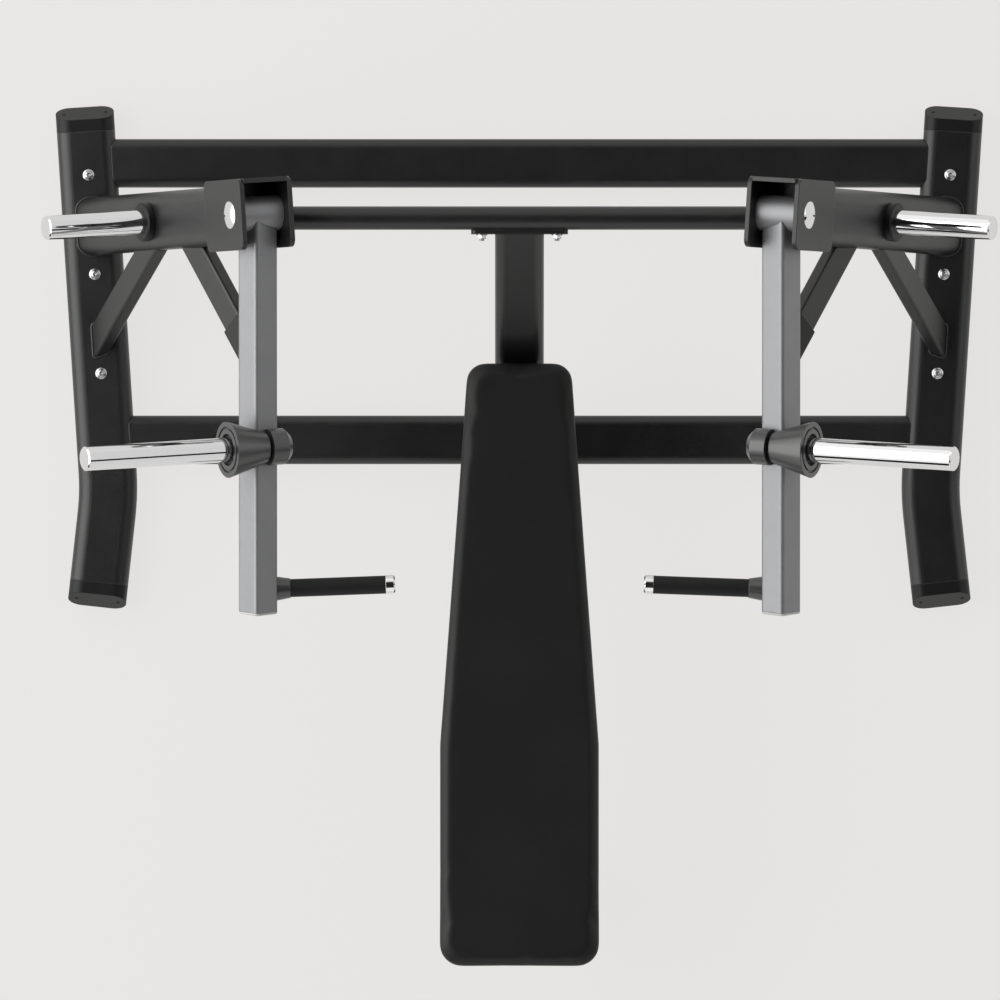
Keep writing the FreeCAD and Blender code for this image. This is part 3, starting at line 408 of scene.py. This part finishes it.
print("finishes: building")
finishes = {
    "black_paint": blackPaint(), "silver_paint": silverPaint(), "chrome": chromePlate(),
    "zinc": zincPlate(), "black_plastic": blackPlastic(), "silver_plastic": silverPlastic(),
    "rubber": solidRubber(), "grip_rubber": gripRubber(), "vinyl": padVinyl(),
    "plywood": stainedPly(), "bush": bronzeBush(), "hub_black": hubBlack(),
}
for entry in frame["record"]["subparts"]:
    data = nodes[entry["node"]].data
    data.materials.clear()
    data.materials.append(finishes[entry["material_slot"]])
print("finishes: on", len(nodes), "nodes")


# mesh helpers

def pieceFrom(name, mesh, slotName, body, replaced=()):
    piece = bpy.data.objects.new(name, mesh)
    bpy.context.scene.collection.objects.link(piece)
    piece.data.materials.clear()
    piece.data.materials.append(finishes[slotName])
    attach(piece, body)
    if replaced:
        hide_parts(*replaced)
    return piece


def meshFrom(build, name, smooth=True):
    shape = bmesh.new()
    build(shape)
    bmesh.ops.recalc_face_normals(shape, faces=shape.faces)
    mesh = bpy.data.meshes.new(name)
    shape.to_mesh(mesh)
    shape.free()
    for face in mesh.polygons:
        face.use_smooth = smooth
    return mesh


def ringRadius(kind, radius, angle):
    if kind != "hex":
        return radius
    sector = (angle + math.pi / 6) % (math.pi / 3) - math.pi / 6
    return radius * math.cos(math.pi / 6) / math.cos(sector)


def addTurned(shape, profile, place, steps=48):
    # a closed turned form: each ring is (radius, height, round or hex), and a radius of 0 closes it
    rings = []
    for radius, height, kind in profile:
        if radius == 0:
            rings.append([shape.verts.new(place @ Vector((0, 0, height)))])
            continue
        ring = []
        for step in range(steps):
            angle = 2 * math.pi * step / steps
            reach = ringRadius(kind, radius, angle)
            ring.append(shape.verts.new(place @ Vector((reach * math.cos(angle),
                                                        reach * math.sin(angle), height))))
        rings.append(ring)
    for low, high in zip(rings, rings[1:]):
        for step in range(steps):
            after = (step + 1) % steps
            corners = [low[step % len(low)], low[after % len(low)],
                       high[after % len(high)], high[step % len(high)]]
            corners = list(dict.fromkeys(corners))
            if len(corners) > 2:
                shape.faces.new(corners)


def solidBoxes(name):
    # the low and high corner of every loose solid of a CAD node, from left to right
    mesh = nodes[name].data
    shape = bmesh.new()
    shape.from_mesh(mesh)
    bmesh.ops.remove_doubles(shape, verts=shape.verts, dist=1e-6)
    left = set(shape.verts)
    found = []
    while left:
        island = {left.pop()}
        front = list(island)
        while front:
            vert = front.pop()
            for edge in vert.link_edges:
                other = edge.other_vert(vert)
                if other in left:
                    left.remove(other)
                    island.add(other)
                    front.append(other)
        low = Vector([min(v.co[i] for v in island) for i in range(3)])
        high = Vector([max(v.co[i] for v in island) for i in range(3)])
        found.append((low, high))
    shape.free()
    return sorted(found, key=lambda box: [round((box[0][i] + box[1][i]) / 2, 3) for i in (0, 1)])


def facing(origin, axis):
    return Matrix.Translation(origin) @ axis.to_track_quat("Z", "Y").to_matrix().to_4x4()


def addLoopCord(shape, points, radiusAt, steps=8):
    # a round cord along a closed loop of points; radiusAt gives its radius at each point
    rings = []
    for index, point in enumerate(points):
        ahead = (points[(index + 1) % len(points)] - points[index - 1]).normalized()
        side = ahead.cross(Vector((0, 0, 1))).normalized()
        rise = side.cross(ahead)
        radius = radiusAt(index)
        rings.append([shape.verts.new(point + side * radius * math.cos(2 * math.pi * s / steps)
                                      + rise * radius * math.sin(2 * math.pi * s / steps))
                      for s in range(steps)])
    for index, first in enumerate(rings):
        second = rings[(index + 1) % len(rings)]
        for s in range(steps):
            after = (s + 1) % steps
            shape.faces.new((first[s], first[after], second[after], second[s]))


def evenSteps(points, gap):
    # the same closed loop, with its points a set distance apart
    spaced = []
    for index, point in enumerate(points):
        ahead = points[(index + 1) % len(points)]
        count = max(1, round((ahead - point).length / gap))
        spaced += [point.lerp(ahead, step / count) for step in range(count)]
    return spaced


def turnOf(first, second, third):
    # above zero where the path through three flat points turns left
    return ((second[0] - first[0]) * (third[1] - first[1])
            - (second[1] - first[1]) * (third[0] - first[0]))


def outerLoop(points):
    # convex outline of points that share one height
    height = points[0].z
    flat = sorted({(round(p.x, 5), round(p.y, 5)) for p in points})
    chains = []
    for order in (flat, flat[::-1]):
        chain = []
        for spot in order:
            while len(chain) > 1 and turnOf(*chain[-2:], spot) <= 0:
                chain.pop()
            chain.append(spot)
        chains += chain[:-1]
    return [Vector((x, y, height)) for x, y in chains]


# buttons, nuts and caps

def makeRailBolts():
    size = {"washer": 0.0118, "washerHigh": 0.0016, "chamfer": 0.0003, "head": 0.0088,
            "rise": 0.0058, "socket": 0.0034, "socketDeep": 0.003}
    high = size["washerHigh"]
    dome = ((1.0, 0.0004), (0.93, 0.0018), (0.78, 0.0031))

    def build(shape):
        for low, top in solidBoxes("rail_bolts"):
            place = Matrix.Translation(((low.x + top.x) / 2, (low.y + top.y) / 2, low.z))
            addTurned(shape, [
                (0, 0, "round"), (size["washer"] - size["chamfer"], 0, "round"),
                (size["washer"], size["chamfer"], "round"),
                (size["washer"], high - size["chamfer"], "round"),
                (size["washer"] - size["chamfer"], high, "round"),
                (size["head"] + 0.0002, high, "round"),
                *[(size["head"] * share, high + climb, "round") for share, climb in dome],
                (size["head"] * 0.58, size["rise"] - 0.0004, "round"),
                (size["socket"] + 0.0006, size["rise"], "round"),
                (size["socket"], size["rise"] - 0.0003, "hex"),
                (size["socket"], size["rise"] - size["socketDeep"], "hex"),
                (0, size["rise"] - size["socketDeep"] - 0.0006, "round")], place)

    pieceFrom("railButtonBolts", meshFrom(build, "railButtonBolts"), "zinc", "frame",
              ["rail_bolts"])


def makeFlangeBolts():
    size = {"washer": 0.0115, "washerHigh": 0.002, "nut": 0.0098, "nutHigh": 0.0072,
            "thread": 0.005, "pitch": 0.00125}

    def build(shape):
        for low, top in solidBoxes("flange_bolts"):
            centre = (low + top) / 2
            ahead = centre.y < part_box("spine_flange")[0].y
            root = top.y if ahead else low.y
            axis = Vector((0, -1 if ahead else 1, 0))
            reach = top.y - low.y
            place = facing(Vector((centre.x, root, centre.z)), axis)
            nutTop = size["washerHigh"] + min(size["nutHigh"], reach * 0.75)
            profile = [
                (0, 0, "round"), (size["washer"], 0, "round"),
                (size["washer"], size["washerHigh"] - 0.0003, "round"),
                (size["washer"] - 0.0003, size["washerHigh"], "round"),
                (size["nut"] * 0.9, size["washerHigh"], "round"),
                (size["nut"], size["washerHigh"] + 0.0006, "hex"),
                (size["nut"], nutTop - 0.0008, "hex"), (size["nut"] * 0.86, nutTop, "round"),
                (size["thread"], nutTop, "round")]
            height = nutTop
            while height + size["pitch"] < reach:
                profile.append((size["thread"] - 0.0005, height + size["pitch"] / 2, "round"))
                height += size["pitch"]
                profile.append((size["thread"], height, "round"))
            profile.append((size["thread"] * 0.8, height + 0.0004, "round"))
            profile.append((0, height + 0.0004, "round"))
            addTurned(shape, profile, place)

    pieceFrom("flangeNutsAndBolts", meshFrom(build, "flangeNutsAndBolts", smooth=False), "zinc",
              "frame", ["flange_bolts"])


def makeCapScrews():
    # each screw stands square to the sloping end face of its own rail cap
    size = {"head": 0.0045, "rise": 0.0016, "shoulder": 0.0006, "chamfer": 0.0013,
            "socket": 0.0022, "socketLip": 0.0014, "socketFloor": 0.0003, "reach": 0.09}

    def build(shape):
        for low, top in solidBoxes("cap_screws"):
            centre = (low + top) / 2
            side = 1 if centre.y > 0 else -1
            near = [face for face in nodes["rail_caps"].data.polygons
                    if (face.center - centre).length < size["reach"]
                    and face.normal.y * side > 0.8 and face.normal.z > 0.2]
            axis = sum((face.normal for face in near), Vector((0, 0, 0))).normalized()
            place = facing(centre - axis * size["rise"] / 2, axis)
            addTurned(shape, [
                (0, 0, "round"), (size["head"], 0, "round"),
                (size["head"], size["shoulder"], "round"),
                (size["head"] * 0.8, size["chamfer"], "round"),
                (size["socket"] + 0.0004, size["rise"], "round"),
                (size["socket"], size["socketLip"], "hex"),
                (size["socket"], size["socketFloor"], "hex"),
                (0, size["socketFloor"] - 0.0001, "round")], place, steps=36)

    pieceFrom("capScrewHeads", meshFrom(build, "capScrewHeads"), "black_plastic", "frame",
              ["cap_screws"])


def makeWelds():
    # rippled beads where upright tubes stand on the rails, the crossbar and the front foot
    size = {"radius": 0.0031, "ripple": 0.0005, "pitch": 0.0034, "gap": 0.00085, "lift": 0.0002,
            "slice": 0.0004}
    feet = ["post_left", "post_right", "outer_brace_left", "outer_brace_right", "centre_post",
            "front_leg"]

    def build(shape):
        for name in feet:
            verts = [vert.co for vert in nodes[name].data.vertices]
            low = min(co.z for co in verts)
            loop = outerLoop([co for co in verts if co.z < low + size["slice"]])
            points = [p + Vector((0, 0, size["lift"])) for p in evenSteps(loop, size["gap"])]

            def swelling(index):
                phase = 2 * math.pi * index * size["gap"] / size["pitch"]
                return size["radius"] + size["ripple"] * abs(math.sin(phase / 2))

            addLoopCord(shape, points, swelling)

    pieceFrom("weldBeads", meshFrom(build, "weldBeads"), "black_paint", "frame")


print("fasteners: turning")
makeRailBolts()
makeFlangeBolts()
makeCapScrews()
print("welds: laying beads")
makeWelds()


# the pad: a foam slab under vinyl, crowned by a short cloth simulation

padSize = {"inset": 0.003, "sink": 0.005, "edgeRound": 0.012, "edgeSteps": 6,
           "footInset": 0.004, "footLift": 0.0005, "footRise": 0.006, "voxel": 0.006,
           "headCorner": 0.041, "waistCorner": 0.12, "footCorner": 0.047, "cornerSteps": 10,
           "cornerReach": 0.45, "taperShare": 0.6312, "headHalf": 0.1066}
clothSize = {"pressure": 4.0, "stiffness": 18.0, "bending": 0.6, "quality": 5, "frames": 20,
             "sideShare": 0.03, "cap": 0.0075, "relaxShare": 0.5, "relaxTurns": 3}


def padCorners(inset):
    low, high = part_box("pad_cushion")
    taperY = high.y - (high.y - low.y) * padSize["taperShare"]
    head = padSize["headHalf"] - inset
    wide = high.x - inset
    return [((head, high.y - inset), padSize["headCorner"] - inset),
            ((wide, taperY), padSize["waistCorner"]),
            ((wide, low.y + inset), padSize["footCorner"] - inset)]


def roundCorner(before, corner, after, radius):
    # points along the arc that rounds one corner of the outline
    toBefore = (before - corner).normalized()
    toAfter = (after - corner).normalized()
    half = toBefore.angle(toAfter) / 2
    setback = min(radius / math.tan(half), (before - corner).length * padSize["cornerReach"])
    radius = setback * math.tan(half)
    centre = corner + (toBefore + toAfter).normalized() * (radius / math.sin(half))
    start = corner + toBefore * setback - centre
    end = corner + toAfter * setback - centre
    sweep = start.angle_signed(end)
    points = []
    for step in range(padSize["cornerSteps"] + 1):
        turn = Matrix.Rotation(-sweep * step / padSize["cornerSteps"], 2)
        points.append(centre + turn @ start)
    return points


def padOutline(inset):
    right = padCorners(inset)
    corners = [(Vector(point), radius) for point, radius in right]
    corners += [(Vector((-point[0], point[1])), radius) for point, radius in reversed(right)]
    points = []
    for index, (corner, radius) in enumerate(corners):
        before = corners[index - 1][0]
        after = corners[(index + 1) % len(corners)][0]
        points += roundCorner(before, corner, after, radius)
    return points


def buildPadBlank(shape):
    low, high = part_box("pad_cushion")
    top = high.z - padSize["sink"]
    rings = [(padSize["inset"] + padSize["footInset"], low.z + padSize["footLift"]),
             (padSize["inset"], low.z + padSize["footRise"])]
    for step in range(padSize["edgeSteps"] + 1):
        angle = math.pi / 2 * step / padSize["edgeSteps"]
        rings.append((padSize["inset"] + padSize["edgeRound"] * (1 - math.cos(angle)),
                      top - padSize["edgeRound"] * (1 - math.sin(angle))))
    loops = []
    for inset, height in rings:
        loops.append([shape.verts.new((p.x, p.y, height)) for p in padOutline(inset)])
    for lower, upper in zip(loops, loops[1:]):
        for index in range(len(lower)):
            after = (index + 1) % len(lower)
            shape.faces.new((lower[index], lower[after], upper[after], upper[index]))
    shape.faces.new(loops[0][::-1])
    shape.faces.new(loops[-1])


def swell(piece):
    # inflates the cover; the crown it gains is kept, and nearly all of the sideways drift isn't
    scene = bpy.context.scene
    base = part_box("pad_cushion")[0].z
    start = [vert.co.copy() for vert in piece.data.vertices]
    cloth = piece.modifiers.new("swell", "CLOTH")
    cloth.settings.use_pressure = True
    cloth.settings.uniform_pressure_force = clothSize["pressure"]
    cloth.settings.effector_weights.gravity = 0.0
    cloth.settings.tension_stiffness = clothSize["stiffness"]
    cloth.settings.compression_stiffness = clothSize["stiffness"]
    cloth.settings.bending_stiffness = clothSize["bending"]
    cloth.settings.quality = clothSize["quality"]
    cloth.collision_settings.use_self_collision = False
    cloth.point_cache.frame_start = 1
    cloth.point_cache.frame_end = clothSize["frames"]
    for number in range(1, clothSize["frames"] + 1):
        scene.frame_set(number)
    shown = piece.evaluated_get(bpy.context.evaluated_depsgraph_get())
    moved = [vert.co.copy() for vert in shown.data.vertices]
    piece.modifiers.remove(cloth)
    scene.frame_set(1)
    for vert, rest, there in zip(piece.data.vertices, start, moved):
        step = there - rest
        step.x *= clothSize["sideShare"]
        step.y *= clothSize["sideShare"]
        if step.length > clothSize["cap"]:
            step *= clothSize["cap"] / step.length
        vert.co = rest + step
        vert.co.z = max(vert.co.z, base)
    print("cushion: largest swell", round(max((b - a).length for a, b in zip(start, moved)), 4))


def fillBox(piece, low, high):
    # stretches the finished cushion a little, so that it fills the space kept for it
    shown = piece.evaluated_get(bpy.context.evaluated_depsgraph_get())
    spots = [vert.co.copy() for vert in shown.data.vertices]
    least = Vector([min(spot[i] for spot in spots) for i in range(3)])
    most = Vector([max(spot[i] for spot in spots) for i in range(3)])
    for vert in piece.data.vertices:
        for i in range(3):
            share = (vert.co[i] - least[i]) / (most[i] - least[i])
            vert.co[i] = low[i] + share * (high[i] - low[i])


def makeCushion():
    piece = pieceFrom("padCushionVinyl", meshFrom(buildPadBlank, "padCushionVinyl"), "vinyl",
                      "frame", ["pad_cushion"])
    remesh = piece.modifiers.new("evenSkin", "REMESH")
    remesh.mode = "VOXEL"
    remesh.voxel_size = padSize["voxel"]
    remesh.use_smooth_shade = True
    shown = piece.evaluated_get(bpy.context.evaluated_depsgraph_get())
    even = bpy.data.meshes.new_from_object(shown)
    piece.modifiers.remove(remesh)
    piece.data = even
    even.materials.clear()
    even.materials.append(finishes["vinyl"])
    swell(piece)
    relax = piece.modifiers.new("relax", "SMOOTH")
    relax.factor = clothSize["relaxShare"]
    relax.iterations = clothSize["relaxTurns"]
    finer = piece.modifiers.new("finer", "SUBSURF")
    finer.levels = 1
    finer.render_levels = 1
    fillBox(piece, *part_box("pad_cushion"))


def makeWeltCord():
    # a welt cord round the cushion's lower edge, where the cover meets the board
    size = {"inset": 0.0085, "rise": 0.0034, "radius": 0.0036, "gap": 0.006}
    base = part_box("pad_cushion")[0].z

    def build(shape):
        loop = [Vector((p.x, p.y, base + size["rise"])) for p in padOutline(size["inset"])]
        addLoopCord(shape, evenSteps(loop, size["gap"]), lambda index: size["radius"], steps=10)

    pieceFrom("padWeltCord", meshFrom(build, "padWeltCord"), "vinyl", "frame")


print("cushion: filling")
makeCushion()
makeWeltCord()


# floor, light and camera

studio = {
    "floorGlow": 0.925, "floorHalf": 60.0, "keyPower": 270.0, "keySize": 6.0, "fillPower": 16.0,
    "fillSize": 2.4, "keyPlace": (-4.2, 0.8, 2.6), "fillPlace": (4.2, 1.5, 2.2),
    "lightAim": (0, 0, 0.3), "keyColour": (1.0, 0.995, 0.985), "skyColour": (1.0, 0.995, 0.985, 1),
    "skyLow": 1.08, "skyHigh": 0.02, "skyFrom": 0.68, "skyTo": 0.94, "rightShare": 0.7,
    "rightFrom": -0.3, "rightTo": 0.7, "gapLean": -0.32, "gapAt": 0.565, "gapHalf": 0.09,
    "gapFade": 0.03, "gapLight": 0.015, "backdrop": 0.8, "cameraHigh": 80.0, "tableHigh": 0.4,
    "viewWide": 2.05, "viewLeft": 0.0399, "viewRear": 0.0738, "sensor": 36.0, "clipStart": 1.0,
    "clipEnd": 400.0}


def floorMaterial():
    # studio paper with an even glow of its own, and only faint shade under the machine
    material, tree, shader = startMaterial("paleStudioFloor", Roughness=0.9)
    shader.inputs["Base Color"].default_value = (0.06, 0.06, 0.059, 1)
    shader.inputs["Specular IOR Level"].default_value = 0.1
    shader.inputs["Emission Color"].default_value = (0.80, 0.79, 0.775, 1)
    shader.inputs["Emission Strength"].default_value = studio["floorGlow"]
    return material


def makeFloor():
    half = studio["floorHalf"]
    mesh = bpy.data.meshes.new("studioFloor")
    mesh.from_pydata([(-half, -half, 0), (half, -half, 0), (half, half, 0), (-half, half, 0)], [],
                     [(0, 1, 2, 3)])
    floor = bpy.data.objects.new("studioFloor", mesh)
    bpy.context.scene.collection.objects.link(floor)
    mesh.materials.append(floorMaterial())


def areaLight(name, place, size, power, colour=(1, 1, 1)):
    data = bpy.data.lights.new(name, "AREA")
    data.shape = "SQUARE"
    data.size = size
    data.energy = power
    data.color = colour
    light = bpy.data.objects.new(name, data)
    bpy.context.scene.collection.objects.link(light)
    light.location = place
    light.rotation_mode = "QUATERNION"
    light.rotation_quaternion = (Vector(place) - Vector(studio["lightAim"])).to_track_quat("Z", "Y")
    light.visible_camera = False


def makeSky():
    # soft boxes all round with a dark ceiling, and one dark gap that draws the line in the chrome
    world = bpy.data.worlds.new("softStudio")
    bpy.context.scene.world = world
    world.use_nodes = True
    tree = world.node_tree
    shade = tree.nodes["Background"]
    coords = addNode(tree, "ShaderNodeTexCoord")
    split = addNode(tree, "ShaderNodeSeparateXYZ")
    link(tree, coords.outputs["Generated"], split.inputs[0])
    rise = addNode(tree, "ShaderNodeMapRange", interpolation_type="SMOOTHSTEP", To_Min=1.0,
                   To_Max=0.0, From_Min=studio["skyFrom"], From_Max=studio["skyTo"])
    link(tree, split.outputs["Z"], rise.inputs["Value"])
    dome = mathNode(tree, "ADD", mathNode(tree, "MULTIPLY", rise.outputs["Result"],
                                          studio["skyLow"]), studio["skyHigh"])
    lean = mathNode(tree, "MULTIPLY", split.outputs["X"], studio["gapLean"])
    offLine = mathNode(tree, "ABSOLUTE", mathNode(tree, "ADD", mathNode(
        tree, "ADD", split.outputs["Y"], lean), studio["gapAt"]))
    gap = addNode(tree, "ShaderNodeMapRange", interpolation_type="SMOOTHSTEP",
                  From_Min=studio["gapHalf"], From_Max=studio["gapHalf"] + studio["gapFade"])
    link(tree, offLine, gap.inputs["Value"])
    inGap = mixValue(tree, gap.outputs["Result"], studio["gapLight"], 1.0)
    rightward = addNode(tree, "ShaderNodeMapRange", interpolation_type="SMOOTHSTEP",
                        From_Min=studio["rightFrom"], From_Max=studio["rightTo"], To_Min=1.0,
                        To_Max=studio["rightShare"])
    link(tree, split.outputs["X"], rightward.inputs["Value"])
    lit = mathNode(tree, "MULTIPLY", mathNode(tree, "MULTIPLY", dome, inGap),
                   rightward.outputs["Result"])
    seen = addNode(tree, "ShaderNodeLightPath")
    strength = addNode(tree, "ShaderNodeMix", data_type="FLOAT")
    link(tree, seen.outputs["Is Camera Ray"], strength.inputs[0])
    link(tree, lit, strength.inputs[2])
    strength.inputs[3].default_value = studio["backdrop"]
    link(tree, strength.outputs[0], shade.inputs["Strength"])
    shade.inputs["Color"].default_value = studio["skyColour"]


def makeCamera():
    data = bpy.data.cameras.new("topCamera")
    data.sensor_width = studio["sensor"]
    data.lens = data.sensor_width * studio["cameraHigh"] / studio["viewWide"]
    data.clip_start = studio["clipStart"]
    data.clip_end = studio["clipEnd"]
    camera = bpy.data.objects.new("topCamera", data)
    bpy.context.scene.collection.objects.link(camera)
    camera.location = (-studio["viewLeft"], studio["viewRear"],
                       studio["cameraHigh"] + studio["tableHigh"])
    bpy.context.scene.camera = camera


print("studio: floor, light, camera")
makeFloor()
makeSky()
areaLight("keyLeft", studio["keyPlace"], studio["keySize"], studio["keyPower"],
          studio["keyColour"])
areaLight("fillRight", studio["fillPlace"], studio["fillSize"], studio["fillPower"])
makeCamera()
bpy.context.scene.view_settings.view_transform = "Standard"
